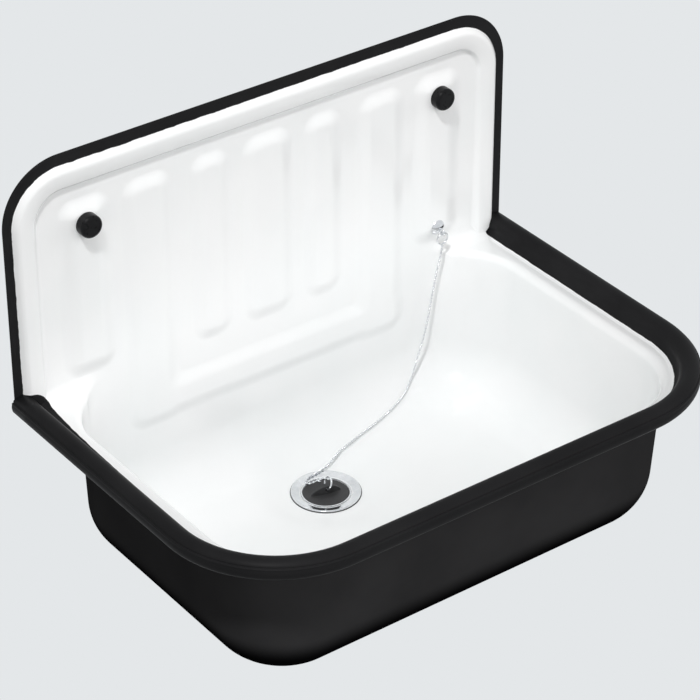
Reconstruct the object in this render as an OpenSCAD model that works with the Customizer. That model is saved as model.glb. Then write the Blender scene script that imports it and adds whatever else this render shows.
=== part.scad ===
// Enamelled bucket sink with a tall backsplash, a chrome waste and a plug on a ball chain.
// The origin lies midway between the two wall fixings, on the wall. X runs along the wall,
// the bowl reaches out along -Y, and Z is up. All sizes are in millimetres.

/* [Backsplash] */
// Width of the backsplash over its black edges
splash_w = 512; // [500:1:600]
// Height of the top edge above the wall fixings
splash_top = 68; // [60:1:100]
// Radius of the top corners
splash_r = 55; // [50:1:70]
// Thickness of the enamelled sheet
sheet_t = 2; // [1.5:0.1:2.5]
// Width of the flat black edge at the sides
edge_side = 8; // [5:0.5:10]
// Width of the flat black edge at the top
edge_top = 10; // [8:0.5:12]
// Width of the raised border inside the edge
border_w = 21; // [18:0.5:24]
// Height of the raised border over the field
border_h = 7; // [6:0.5:8]

/* [Ribs] */
// How far the ribs stand out of the field
rib_h = 5; // [4.5:0.1:7]
// Height of the rib tops above the wall fixings
rib_top = 23; // [18:1:26]
// Radius of the rib corners seen from the front
rib_r = 15; // [12:0.5:18]
// Roundness of the rib edges
rib_edge = 4; // [2:0.5:4]
// Width of the middle rib
rib_mid_w = 52; // [48:1:56]
// Width of the two ribs beside the middle one
rib_near_w = 41; // [38:1:44]
// Width of the ribs that join the apron
rib_far_w = 50; // [46:1:52]
// Width of the outer ribs that carry the fixings
rib_outer_w = 52; // [48:1:56]
// Middle to middle, from the middle rib to the near ribs
rib_near_x = 58; // [56:1:60]
// Middle to middle, from the middle rib to the ribs that join the apron
rib_far_x = 120; // [116:1:122]
// Height of the apron that joins the two far ribs
apron_h = 42; // [36:1:50]
// Bottom of the apron, below the wall fixings
apron_bottom = 223; // [215:1:230]
// Height of the outer ribs' lower ends above the foot of the sheet
outer_rib_gap = 14; // [12:1:30]

/* [Wall fixings] */
// Distance of each wall screw from its side of the sheet
fixing_inset = 74.8; // [70:0.2:80]
// Diameter of the wall screws through the plate
screw_d = 8; // [6:0.5:9]
// Diameter of the screw thread behind the wall face
thread_d = 7; // [5.6:0.1:7.4]
// Length of a screw shank behind the wall face
screw_reach = 55; // [40:1:80]
// Width of the screw head across its flats
head_af = 13; // [11:0.5:14]
// Thickness of the screw head
head_t = 5.3; // [4:0.1:6]
// Outer diameter of the washer under the head
washer_d = 17; // [16:0.5:18]
// Thickness of the washer under the head
washer_t = 1.6; // [1:0.1:2]
// Outer diameter of the screw caps
cap_d = 20.4; // [20:0.2:24]
// Length of the screw caps
cap_len = 9.5; // [9.5:0.1:14]
// Radius of the rounded front edge of a cap
cap_edge = 3; // [1.5:0.1:3.5]

/* [Rim] */
// Outer radius of the rolled rim
rim_r = 9.5; // [8:0.1:11]
// How far the middle of the rim lies inside the backsplash edge
rim_inset = 6.2; // [5:0.1:9]
// Distance from the wall to the middle of the front rim
rim_reach = 327.6; // [310:0.1:360]
// Height of the middle of the rim below the fixings
rim_drop = 151.9; // [150:0.1:156]
// Corner radius of the rim, along its middle
rim_corner = 96; // [88:1:104]
// Width of the shallow groove along the outside of the rim
groove_w = 1.6; // [1:0.1:2.4]

/* [Bowl] */
// Inset of the bowl wall from the middle of the side rims
bowl_side_inset = 28.8; // [26:0.1:34]
// Inset of the bowl wall from the middle of the front rim
bowl_front_inset = 25.1; // [24:0.1:34]
// Outer radius of the upright bowl corners
bowl_corner = 66; // [62:1:80]
// Outer radius between the walls and the floor
floor_r = 48; // [30:1:50]
// Depth of the bowl from its ledge to the floor
bowl_depth = 136; // [110:1:180]
// Radius where the ledge turns down into the bowl
lip_r = 8; // [5:0.5:8]

/* [Waste] */
// Diameter of the waste flange
flange_d = 62; // [60:0.5:66]
// Thickness of the waste flange beside the plug
flange_t = 1.5; // [1.2:0.1:2.5]
// Rise of the flange from the plug to its rounded outer edge
flange_rise = 2.3; // [1.5:0.1:3]
// Distance from the wall to the middle of the waste
waste_y = 84; // [80:1:120]
// Depth of the drain well below the floor
well_depth = 9; // [7:0.5:12]
// Outer diameter of the threaded tail
tail_d = 41.91; // [41.5:0.01:42.5]
// Length of the tail below the flange
tail_len = 62; // [50:1:80]
// Diameter of the water way
bore_d = 33.6; // [30:0.2:34]
// Diameter of the plug at its top
plug_d = 41; // [40:0.2:41.4]
// Depth of the plug below the flange
plug_depth = 11; // [9:0.5:14]
// Thickness of the seal under the flange
top_seal_t = 1.5; // [1:0.1:2]
// Thickness of the rubber washer below the bowl
under_seal_t = 3; // [2:0.5:5]
// Thickness of the flat washer
flat_washer_t = 1.5; // [1:0.1:3]
// Thickness of the backnut
nut_t = 9.5; // [7:0.5:12]
// Width of the backnut across its flats
nut_af = 55; // [52:0.5:60]

/* [Chain] */
// Diameter of the balls of the chain
chain_d = 2.8; // [2.4:0.1:3.2]
// Height of the chain stay below the wall fixings
stay_drop = 132; // [126:1:136]
// Diameter of the dome of the chain stay
stay_d = 14.5; // [12:0.5:16]
// Middle radius of the ring on the chain stay
stay_ring_r = 5.6; // [5:0.1:7]
// Middle radius of the ring on the plug
plug_ring_r = 6; // [5.5:0.1:7]
// Diameter of the ring wire
wire_d = 1.6; // [1.2:0.1:1.8]
// Length of the finger bar on the plug
bar_len = 28; // [24:1:32]
// Height of the finger bar on the plug
bar_h = 8; // [7:0.5:10]

/* [Hidden] */
$fn = 64;

// Clearances
gap = 0.3;
thread_fit = 0.05;
hole_fit = 0.5;
weld_fit = 0.05;

// Backsplash
half_w = splash_w / 2;
field_y = -sheet_t;
rib_y = -sheet_t - rib_h;
border_x = half_w - edge_side;
border_top = splash_top - edge_top;
border_arc = (pow(border_w / 2, 2) + pow(border_h, 2)) / (2 * border_h);
border_corner = splash_r - edge_side;
fixing_x = splash_w / 2 - fixing_inset;
apron_top = -apron_bottom + apron_h;
apron_half = rib_far_x + rib_far_w / 2;
tongue_half = apron_half + 4;
seam_z = -apron_bottom - 4;
foot_r = 9;

// Rim and bowl
rim_x = half_w - rim_inset;
rim_y = -rim_reach;
rim_z = -rim_drop;
rim_hollow = rim_r - sheet_t;
ledge_z = rim_z - rim_r + sheet_t + 0.4;
ledge_low = ledge_z - sheet_t;
rim_foot = rim_r + 3.3;
splash_low = rim_z - rim_r;
rib_low = ledge_z;
bowl_x = rim_x - bowl_side_inset;
bowl_y = rim_y + bowl_front_inset;
floor_z = ledge_z - bowl_depth;
floor_low = floor_z - sheet_t;
lip_in = lip_r - sheet_t;

// Waste
waste = [0, -waste_y];
well_z = floor_z - well_depth;
well_r = flange_d / 2 + 2.5;
well_slope = 1.5;
well_over = 3;
flange_low = well_z + top_seal_t;
flange_z = flange_low + flange_t;
tail_r = tail_d / 2;
neck_r = tail_r - 0.35;
bowl_hole_r = tail_r + 1.5;
seat_r = plug_d / 2 + gap + 0.1;
throat_r = seat_r - 2.4;
bore_r = bore_d / 2;
cone_h = 2.5;
under_z = well_z - sheet_t;
washer_z = under_z - under_seal_t;
nut_z = washer_z - flat_washer_t;
nut_low = nut_z - nut_t;
tail_low = flange_low - tail_len;
plug_low = flange_z - plug_depth;
grid_t = 3;
grid_w = 3;
relief = 1;
bead_h = 0.8;
bead_w = 1.2;

// Plug, rings and chain
bar_turn = -14;
bar_w = 5;
bar_hole = 4;
bar_slack = 1.05;
wire_r = wire_d / 2;
ring_lean = 20;
stay = [fixing_x, rib_y, -stay_drop];
dome_h = 4;
eye_r = 2.7;
eye_wire = 1;
stay_m = 5;
stay_nut_af = 8;
stay_nut_t = 3.5;
stay_washer_t = 1;
eye_drop = 2;
eye_y = rib_y - dome_h - eye_r;
ring_hang = stay[2] - eye_drop - (eye_r - eye_wire - wire_r - gap);

// Route of the chain, from the ring of the stay down into the bowl and round the waste
chain_sides = 8;
chain_step = 6.2;
chain_route = [[181, -13.7, -148], [180, -13.6, -156], [176, -13.2, -172], [172, -13, -192],
    [164, -13, -231], [156, -13, -255], [149, -14, -273], [140, -18.5, -281], [133, -22, -284.5],
    [119, -27, -288], [106, -31, -289.9], [88, -36, -291.6], [71, -40, -292.6], [56, -44.5, -293.1],
    [42, -49, -292.9], [33, -53, -293.8], [25, -56, -295.7], [17, -57.8, -297.1],
    [9, -58.4, -297.9], [1, -58.8, -298.3], [-3.5, -60.4, -298.4], [-5.5, -62, -298.4]];
end_route = [[-6.1, -62.7, -298.4], [-7.8, -65, -298.4], [-7.4, -67.4, -298.2],
    [-5.2, -69.4, -297.4], [-2.8, -70.9, -296.1], [-0.8, -72.5, -294.5]];

// Beads of the clasp beside the ring on the plug, in the frame of the ring
clasp_r = chain_d / 2 + 0.2;
clasp_in = plug_ring_r - wire_r - clasp_r;
clasp_at = [[0, clasp_in * sin(25), clasp_in * cos(25)], [-2.6, 3, 2.9], [-3.6, 5.4, 1.4],
    [-4, 6.9, -0.8], [-3.9, 7.7, -3.2]];

// Point on a smooth curve through four points, between the middle two
function curve(p, q, r, s, t) = 0.5 * (2 * q + (r - p) * t + (2 * p - 5 * q + 4 * r - s) * t * t
    + (3 * q - p - 3 * r + s) * t * t * t);

// The route made smooth, with a point about every step along each span
function smooth(route, step) = let (n = len(route)) concat(
    [for (i = [0:n - 2])
        let (p = route[max(i - 1, 0)], q = route[i], r = route[i + 1], s = route[min(i + 2, n - 1)])
        let (k = max(1, round(norm(r - q) / step)))
        for (j = [0:k - 1]) curve(p, q, r, s, j / k)],
    [route[n - 1]]);

function unit(v) = v / norm(v);

// A round tube along a route that nowhere runs along the given side direction
module tube(route, d, step, side) {
    path = smooth(route, step);
    n = len(path);
    points = [for (i = [0:n - 1])
        let (v = unit(path[min(i + 1, n - 1)] - path[max(i - 1, 0)]))
        let (a = unit(cross(v, side)), b = cross(v, a))
        for (j = [0:chain_sides - 1])
            path[i] + d / 2 * (a * cos(360 * j / chain_sides) + b * sin(360 * j / chain_sides))];
    sides = [for (i = [0:n - 2], j = [0:chain_sides - 1])
        let (k = (j + 1) % chain_sides)
        [i * chain_sides + j, i * chain_sides + k, (i + 1) * chain_sides + k,
            (i + 1) * chain_sides + j]];
    first = [[for (j = [chain_sides - 1:-1:0]) j]];
    last = [[for (j = [0:chain_sides - 1]) (n - 1) * chain_sides + j]];
    polyhedron(points, concat(first, sides, last), convexity = 6);
}

// A flat rectangle with round corners, from its left, right, low and high edges
module rounded(x0, x1, y0, y1, r) {
    translate([x0 + r, y0]) square([x1 - x0 - 2 * r, y1 - y0]);
    translate([x0, y0 + r]) square([x1 - x0, y1 - y0 - 2 * r]);
    for (x = [x0 + r, x1 - r], y = [y0 + r, y1 - r])
        translate([x, y]) circle(r);
}

// A profile swept along X from the left to the right. Its first axis points to +Y.
module straight(x0, x1) translate([x0, 0, 0]) rotate([90, 0, 90]) linear_extrude(x1 - x0) children();

// A profile swept round a quarter turn. The profile's first axis points to the middle.
module quarter(r) rotate_extrude(angle = 90) translate([r, 0]) mirror([1, 0]) children();

// A profile swept round three sides of a rectangle: left, front and right, with open ends at y1
module round_three(x, y0, y1, r) {
    translate([0, y0, 0]) straight(-x + r, x - r) children();
    translate([x, 0, 0]) rotate([0, 0, 90]) straight(y0 + r, y1) children();
    translate([-x, 0, 0]) rotate([0, 0, -90]) straight(-y1, -y0 - r) children();
    translate([x - r, y0 + r, 0]) rotate([0, 0, -90]) quarter(r) children();
    translate([-x + r, y0 + r, 0]) rotate([0, 0, 180]) quarter(r) children();
}

// A profile swept all round a rectangle with round corners
module round_all(x, y0, y1, r) {
    round_three(x, y0, y1 - r, r) children();
    translate([0, y1, 0]) rotate([0, 0, 180]) straight(-x + r, x - r) children();
    translate([x - r, y1 - r, 0]) quarter(r) children();
    translate([-x + r, y1 - r, 0]) rotate([0, 0, 90]) quarter(r) children();
}

// The rounded outline of a pad across its width, standing on its base line
module pad_section(w, h, e) {
    translate([-w / 2, 0]) square([w, h - e]);
    translate([-w / 2 + e, 0]) square([w - 2 * e, h]);
    for (x = [-w / 2 + e, w / 2 - e]) translate([x, h - e]) circle(e);
}

// A pad that stands out towards -Y, with rounded edges, from x0 to x1 and z0 to z1
module pad(x0, x1, z0, z1, r, h, e) {
    w = x1 - x0;
    l = z1 - z0;
    intersection() {
        rotate([90, 0, 0]) linear_extrude(h) rounded(x0, x1, z0, z1, r);
        translate([(x0 + x1) / 2, 0, z0]) linear_extrude(l)
            intersection() {
                mirror([0, 1]) pad_section(w, h, e);
                translate([-w / 2, -h]) square([w, h]);
            }
        translate([x0, 0, (z0 + z1) / 2]) rotate([90, 0, 90]) linear_extrude(w)
            intersection() {
                rotate(90) pad_section(l, h, e);
                translate([-h, -l / 2]) square([h, l]);
            }
    }
}

// All the ribs and the apron, shrunk by an inset for the hollow behind them
module ribs(inset) {
    r = rib_r - inset;
    e = rib_edge - inset / 2;
    top = rib_top - inset;
    w = [rib_mid_w, rib_near_w, rib_far_w, rib_outer_w];
    x = [0, rib_near_x, rib_far_x, fixing_x];
    low = [rib_low, rib_low, -apron_bottom, splash_low + outer_rib_gap];
    for (i = [0:3], side = i == 0 ? [1] : [-1, 1])
        pad(side * x[i] - w[i] / 2 + inset, side * x[i] + w[i] / 2 - inset, low[i] + inset, top,
            r, rib_h, e);
    pad(-apron_half + inset, apron_half - inset, -apron_bottom + inset, apron_top - inset,
        r, rib_h, e);
}

module splash_outline() {
    rounded(-half_w, half_w, -splash_r * 2, splash_top, splash_r);
    rounded(-half_w, half_w, splash_low, 0, foot_r);
    translate([-tongue_half, seam_z]) square([2 * tongue_half, -seam_z]);
}

// The border's arched section. Its first axis points inwards from the black edge.
module border_section(inset) {
    translate([border_w / 2, 0]) intersection() {
        translate([0, -border_h + border_arc]) circle(border_arc - inset);
        translate([-border_w / 2, -border_h]) square([border_w, border_h + (inset > 0 ? sheet_t : 0)]);
    }
}

// The border's path is the rim's turned upright: two legs and a top
module border(inset) {
    rotate([-90, 0, 0])
        round_three(border_x, -border_top, rim_drop, border_corner) border_section(inset);
}

module backsplash() color("white") difference() {
    union() {
        rotate([90, 0, 0]) linear_extrude(sheet_t) splash_outline();
        translate([0, field_y, 0]) ribs(0);
        translate([0, field_y, 0]) border(0);
    }
    ribs(sheet_t);
    translate([0, field_y, 0]) border(sheet_t);
    for (side = [-1, 1]) translate([side * rim_x, field_y, rim_z])
        rotate([90, 0, 0]) cylinder(h = border_h + 1, r = rim_r + weld_fit);
    for (side = [-1, 1]) translate([side * fixing_x, gap, 0])
        rotate([90, 0, 0]) cylinder(h = sheet_t + rib_h + 1, r = screw_d / 2 + hole_fit);
    translate([stay[0], gap, stay[2]])
        rotate([90, 0, 0]) cylinder(h = sheet_t + rib_h + 1, r = stay_m / 2 + gap);
}

// The rim is a rolled tube whose lower inner side turns into the ledge of the bowl
module rim_section() {
    difference() {
        union() {
            circle(rim_r);
            translate([0, ledge_low - rim_z]) square([rim_foot, sheet_t]);
            translate([0, ledge_z - rim_z]) square([rim_foot - 2, 2.6]);
        }
        circle(rim_hollow);
        translate([rim_foot - 0.2, ledge_z - rim_z + 3.4]) circle(3.4);
        rotate(145) translate([rim_r + groove_w / 4, 0]) circle(groove_w / 2);
        translate([0, -rim_r]) square([4.5, rim_r - rim_hollow + 1]);
    }
}

module rolled_rim() color([0.1, 0.1, 0.11]) translate([0, 0, rim_z])
    round_three(rim_x, rim_y, field_y, rim_corner) rim_section();

// Lip, wall and floor radius of the bowl. The first axis points into the bowl.
module bowl_section() {
    lip_z = ledge_z - lip_r;
    turn_z = floor_low + floor_r;
    translate([0, turn_z]) square([sheet_t, lip_z - turn_z]);
    translate([sheet_t - lip_r, lip_z]) difference() {
        intersection() {
            circle(lip_r);
            square(lip_r);
        }
        circle(lip_in);
    }
    translate([floor_r, turn_z]) difference() {
        intersection() {
            circle(floor_r);
            translate([-floor_r, -floor_r]) square(floor_r);
        }
        circle(floor_r - sheet_t);
    }
}

module well(z, r, h) translate([waste[0], waste[1], z]) cylinder(h = h, r1 = r, r2 = r + well_slope * h);

// Room for the backsplash behind the bowl and the ledge
module splash_room() {
    translate([-half_w, field_y, splash_low]) cube([splash_w, 2 * lip_r, 2 * lip_r]);
    translate([-half_w, 0, splash_low - lip_r]) cube([splash_w, 2 * lip_r, 2 * lip_r]);
    translate([-tongue_half, -floor_r / 2, seam_z]) cube([2 * tongue_half, floor_r, -seam_z]);
}

// The flat shoulder from the bowl's lip to the foot of the rolled rim
module ledge() color("white") difference() {
    edge = lip_r - sheet_t;
    translate([0, 0, ledge_low]) linear_extrude(sheet_t) difference() {
        intersection() {
            rounded(-rim_x + rim_foot, rim_x - rim_foot, rim_y + rim_foot, rim_corner,
                rim_corner - rim_foot);
            translate([-rim_x, rim_y]) square([2 * rim_x, -rim_y + field_y]);
        }
        rounded(-bowl_x - edge, bowl_x + edge, bowl_y - edge, edge, bowl_corner + edge);
    }
    splash_room();
}

module bowl() color("white") difference() {
    union() {
        round_all(bowl_x, bowl_y, 0, bowl_corner) bowl_section();
        translate([0, 0, floor_low]) linear_extrude(sheet_t)
            rounded(-bowl_x + floor_r, bowl_x - floor_r, bowl_y + floor_r, -floor_r,
                bowl_corner - floor_r);
        well(under_z, well_r + 1, well_depth);
    }
    well(well_z, well_r, well_depth + well_over);
    translate([waste[0], waste[1], under_z - 1]) cylinder(h = sheet_t + 2, r = bowl_hole_r);
    splash_room();
}

// Runs its children once at each wall fixing, turned so that they rise towards the room
module at_fixings() for (side = [-1, 1]) translate([side * fixing_x, 0, 0]) rotate([90, 0, 0]) children();

module wall_bushes() color("gainsboro") at_fixings() difference() {
    cylinder(h = rib_h, r = washer_d / 2);
    translate([0, 0, -1]) cylinder(h = rib_h + 2, r = screw_d / 2 + thread_fit);
}

module hexagon(af, h) cylinder(h = h, r = af / 2 / cos(30), $fn = 6);

module wall_screws() color("silver") at_fixings() {
    shank = -rib_y + washer_t;
    translate([0, 0, shank]) hexagon(head_af, head_t);
    cylinder(h = shank, d = screw_d);
    translate([0, 0, -screw_reach + thread_d / 2])
        cylinder(h = screw_reach - thread_d / 2, d = thread_d);
    translate([0, 0, -screw_reach]) cylinder(h = thread_d / 2, r1 = thread_d / 6, r2 = thread_d / 2);
}

module screw_washers() color("silver") at_fixings() translate([0, 0, -rib_y]) difference() {
    cylinder(h = washer_t, d = washer_d);
    translate([0, 0, -1]) cylinder(h = washer_t + 2, r = screw_d / 2 + thread_fit);
}

// A push-on cap with a rounded front, hollow over the washer and the screw head
module screw_cap() rotate([90, 0, 0]) translate([0, 0, -rib_y]) difference() {
    rotate_extrude() {
        square([cap_d / 2 - cap_edge, cap_len]);
        square([cap_d / 2, cap_len - cap_edge]);
        intersection() {
            translate([cap_d / 2 - cap_edge, cap_len - cap_edge]) circle(cap_edge);
            square([cap_d / 2, cap_len]);
        }
    }
    translate([0, 0, -1]) cylinder(h = washer_t + head_t + gap + 1, r = washer_d / 2 + gap);
}

module screw_cap_left() color([0.2, 0.2, 0.2]) translate([-fixing_x, 0, 0]) screw_cap();
module screw_cap_right() color([0.2, 0.2, 0.2]) translate([fixing_x, 0, 0]) screw_cap();

// A ring of round wire whose hole runs along Z
module wire_ring(r, wire) rotate_extrude() translate([r, 0]) circle(wire);

module stay_bolt() color("silver") translate(stay) {
    rotate([90, 0, 0]) intersection() {
        translate([0, 0, dome_h - stay_d / 2 - 1]) sphere(stay_d / 2 + 1);
        cylinder(h = dome_h, r = stay_d / 2);
    }
    rotate([-90, 0, 0]) cylinder(h = rib_h + sheet_t - gap, d = stay_m);
    translate([0, 0, -eye_drop]) rotate([90, 0, 0]) cylinder(h = dome_h + eye_wire, r = eye_wire);
    translate([0, eye_y - rib_y, -eye_drop]) rotate([0, 90, 0]) wire_ring(eye_r, eye_wire);
}

module stay_washer() color("dimgray") translate([stay[0], rib_y + sheet_t, stay[2]])
    rotate([-90, 0, 0]) difference() {
        cylinder(h = stay_washer_t, r = stay_m);
        translate([0, 0, -1]) cylinder(h = stay_washer_t + 2, r = stay_m / 2 + thread_fit);
    }

module stay_nut() color("silver") translate([stay[0], rib_y + sheet_t + stay_washer_t, stay[2]])
    rotate([-90, 0, 0]) difference() {
        hexagon(stay_nut_af, stay_nut_t);
        translate([0, 0, -1]) cylinder(h = stay_nut_t + 2, r = stay_m / 2 + thread_fit);
    }

module stay_ring() color("silver") translate([stay[0], eye_y, ring_hang - stay_ring_r])
    rotate([90, 0, 0]) wire_ring(stay_ring_r, wire_r);

// Half section of the waste, from its axis outwards
module waste_section() {
    flange_r = flange_d / 2;
    flange_edge = 1;
    edge_z = flange_z + flange_rise - flange_edge;
    difference() {
        union() {
            polygon([[0, flange_low], [flange_r, flange_low], [flange_r, edge_z],
                [flange_r - flange_edge, edge_z + flange_edge], [seat_r + bead_w, flange_z],
                [0, flange_z]]);
            translate([flange_r - flange_edge, edge_z]) circle(flange_edge);
            translate([0, flange_z]) square([seat_r + bead_w, bead_h]);
            translate([0, tail_low]) square([neck_r, flange_low - tail_low]);
            translate([0, nut_low - relief]) square([tail_r, nut_z - nut_low + 2 * relief]);
            translate([0, tail_low]) square([tail_r, nut_low - 2 * relief - tail_low]);
        }
        polygon([[0, plug_low], [throat_r - 1, plug_low], [throat_r, flange_z - cone_h],
            [seat_r, flange_z], [seat_r, flange_z + 2], [0, flange_z + 2]]);
        translate([0, tail_low - 1]) square([bore_r, plug_low - tail_low + 2]);
    }
}

module waste_body() color("gainsboro") translate([waste[0], waste[1], 0]) {
    rotate_extrude($fn = 96) waste_section();
    for (turn = [0, 90]) rotate(turn) translate([-bore_r - 1, -grid_w / 2, plug_low - grid_t])
        cube([2 * bore_r + 2, grid_w, grid_t]);
}

module washer(z, h, r, hole) translate([waste[0], waste[1], z]) difference() {
    cylinder(h = h, r = r);
    translate([0, 0, -1]) cylinder(h = h + 2, r = hole);
}

module top_seal() color("dimgray") washer(well_z, top_seal_t, flange_d / 2 - 1, bowl_hole_r);
module under_seal() color("dimgray") washer(washer_z, under_seal_t, flange_d / 2 - 1, tail_r + hole_fit);
module flat_washer() color("gainsboro") washer(nut_z, flat_washer_t, flange_d / 2, tail_r + hole_fit);

module backnut() color("tan") translate([waste[0], waste[1], nut_low]) difference() {
    intersection() {
        hexagon(nut_af, nut_t);
        cylinder(h = nut_t, r1 = nut_af / 2 + 4, r2 = nut_af / 2 + 1);
    }
    translate([0, 0, -1]) cylinder(h = nut_t + 2, r = tail_r + thread_fit);
}

// Runs its children in the frame of the plug, with X along the finger bar
module at_plug() translate([waste[0], waste[1], flange_z]) rotate(bar_turn) children();

module plug() color([0.22, 0.22, 0.22]) at_plug() difference() {
    union() {
        translate([0, 0, -cone_h]) cylinder(h = cone_h, r1 = throat_r - gap, r2 = plug_d / 2);
        translate([0, 0, -plug_depth])
            cylinder(h = plug_depth - cone_h, r1 = throat_r - 1 - gap, r2 = throat_r - gap);
        // The finger bar is a lens seen from above and an arch seen from the side
        intersection() {
            lens = (pow(bar_len / 2, 2) + pow(bar_w / 2, 2)) / bar_w;
            arch = (pow(bar_len / 2, 2) + pow(bar_h, 2)) / (2 * bar_h);
            translate([0, lens - bar_w / 2, 0]) cylinder(h = bar_h, r = lens, $fn = 128);
            translate([0, bar_w / 2 - lens, 0]) cylinder(h = bar_h, r = lens, $fn = 128);
            translate([0, bar_w, bar_h - arch]) rotate([90, 0, 0])
                cylinder(h = 2 * bar_w, r = arch, $fn = 128);
            translate([-bar_len / 2, -bar_w, 0]) cube([bar_len, 2 * bar_w, bar_h]);
        }
    }
    translate([0, bar_w, bar_hole]) rotate([90, 0, 0]) cylinder(h = 2 * bar_w, r = wire_r + bar_slack);
}

// Runs its children in the frame of the ring: its middle, with Y along the hole in the bar
module at_ring() at_plug() translate([0, 0, bar_hole]) rotate([0, ring_lean, 0])
    translate([0, 0, plug_ring_r]) children();

module plug_ring() color("silver") at_ring() rotate([0, 90, 0]) wire_ring(plug_ring_r, wire_r);

module chain_clasp() color("silver") at_ring()
    for (p = clasp_at) translate(p) sphere(clasp_r);

module ball_chain() color("silver") tube(chain_route, chain_d, chain_step, [0, 1, 0]);
module chain_end() color("silver") tube(end_route, chain_d, chain_step / 2, [0, 0, 1]);

backsplash();
bowl();
ledge();
rolled_rim();
wall_bushes();
wall_screws();
screw_washers();
screw_cap_left();
screw_cap_right();
stay_bolt();
stay_washer();
stay_nut();
stay_ring();
waste_body();
top_seal();
under_seal();
flat_washer();
backnut();
plug();
plug_ring();
chain_clasp();
ball_chain();
chain_end();
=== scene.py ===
# Looks of the enamelled bucket sink. Sizes are in millimetres and are turned into metres by MM.
# X runs along the wall, the bowl reaches out along -Y, and Z is up.
import math

import bmesh
import bpy
import numpy as np
from mathutils import Matrix, Vector
from mathutils.geometry import delaunay_2d_cdt


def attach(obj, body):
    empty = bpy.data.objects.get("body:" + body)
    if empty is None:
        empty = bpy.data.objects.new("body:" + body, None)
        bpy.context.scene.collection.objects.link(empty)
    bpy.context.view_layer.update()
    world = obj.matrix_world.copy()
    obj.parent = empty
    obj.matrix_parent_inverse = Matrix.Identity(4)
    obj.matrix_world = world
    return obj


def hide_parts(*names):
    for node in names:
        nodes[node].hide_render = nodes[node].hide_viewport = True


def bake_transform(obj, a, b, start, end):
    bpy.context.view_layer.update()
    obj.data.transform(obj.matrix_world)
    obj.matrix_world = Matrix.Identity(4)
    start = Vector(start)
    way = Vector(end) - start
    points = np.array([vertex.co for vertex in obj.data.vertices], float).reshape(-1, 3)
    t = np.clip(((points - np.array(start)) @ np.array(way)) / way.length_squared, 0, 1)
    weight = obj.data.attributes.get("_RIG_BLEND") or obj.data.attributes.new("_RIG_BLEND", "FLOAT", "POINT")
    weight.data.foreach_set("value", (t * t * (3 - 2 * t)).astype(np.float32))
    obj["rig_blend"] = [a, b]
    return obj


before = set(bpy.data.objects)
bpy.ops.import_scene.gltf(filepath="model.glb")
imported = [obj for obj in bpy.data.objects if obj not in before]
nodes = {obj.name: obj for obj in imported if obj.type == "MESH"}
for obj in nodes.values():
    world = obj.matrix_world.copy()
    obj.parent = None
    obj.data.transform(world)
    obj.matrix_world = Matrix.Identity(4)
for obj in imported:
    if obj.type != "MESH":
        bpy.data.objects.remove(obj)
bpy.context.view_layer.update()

MM = 0.001

# Camera, solved from the straight edges of the backsplash and the rim. Its place is in metres.
CAMERA_AT = Vector((-1.2506, -1.8113, 1.2304))
CAMERA_YAW = math.radians(36.477)
CAMERA_PITCH = math.radians(32.959)
CAMERA_ROLL = math.radians(-0.092)
CAMERA_LENS = 153.95
CAMERA_SENSOR = 36.0
CAMERA_CLIP = (0.05, 60)

# Outline of the backsplash: a wide sheet with a tongue that runs down behind the bowl
HALF_W = 256.0
TOP_Z = 68.0
CORNER_R = 55.0
SHEET_T = 2.0
SHEET_EDGE_R = SHEET_T / 2
FOOT_Z = -161.4
FOOT_R = 9.0
TONGUE_HALF = 149.0
SEAM_Z = -227.0

# Black edge of the backsplash
EDGE_LEFT = 8.0
EDGE_RIGHT = 9.2
EDGE_TOP = 10.6

# Raised border, measured inwards from the black edge. Its inner flank is softer low down.
BORDER_H = 5.0
BORDER_RISE = 6.5
BORDER_POWER = 2.2
BORDER_FALL = 0.01
BORDER_FALL_FROM = 6
BORDER_FLANK = (18.6, 22.8)
BORDER_SOFTER = 1.6
BORDER_SOFT_Z = 20
BORDER_SOFT_OVER = 40
BORDER_FOOT = 0.4
BORDER_FOOT_FADE = 2.5

# Ribs from the middle outwards: distance from the middle, width and lower end.
# The third pair runs into the apron, and the fourth carries the fixings.
RIBS = ((0.0, 52.0, -159.0), (58.0, 41.0, -159.0), (120.0, 50.0, -223.0), (181.2, 52.0, -147.4))
RIB_TOP = 23.0
RIB_R = 17.0
RIB_H = 3.1
RIB_FLANK_OUT = 1.0
RIB_FLANK_IN = 14.0
FIXING_RIB_H = 5.0
FIXING_RIB_SOFTER = 4
APRON_HALF = 145.0
APRON_LOW = -223.0
APRON_TOP = -181.0
APRON_BLEND = 9.0

# Mesh of the backsplash. BORDER_LINES are lines of points along the border, by how far they are inset, and
# BORDER_TURN is a little over a quarter turn in radians. FOOT_BAND is the strip along the foot without them.
SPLASH_STEP = 2.0
SPLASH_GAP = 0.45
FOOT_BAND = 1.5
TONGUE_OVERLAP = 40
BORDER_LINES = (-1.2, 0.0, 0.4, 1.0, 2.0, 3.2, 4.5, 6.0, 8.0, 11.0, 14.0, 16.5, 18.5, 19.6, 20.2, 20.7, 21.2,
                21.7, 22.4, 23.4, 24.6)
BORDER_LINES_FROM = 2.5
BORDER_TURN = 1.6
BORDER_TURN_GAP = 0.02
BORDER_TURN_LEAST = 8
CORNER_STEPS = 44
FOOT_STEPS = 12
EDGE_STEPS = 4
WHITE_EDGE_X = 225
SLOPE_STEP = 0.05

# Rim
RIM_X = 249.8
RIM_Y = -327.6
RIM_Z = -151.9
RIM_R = 9.5
RIM_CORNER = 96.0
RIM_BACK = -1.0
RIM_ARC_STEPS = 22
RIM_SIDE_STEPS = 10
RIM_FOOT = 12.8
RIM_FOOT_FILLET = 7.5

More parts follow.
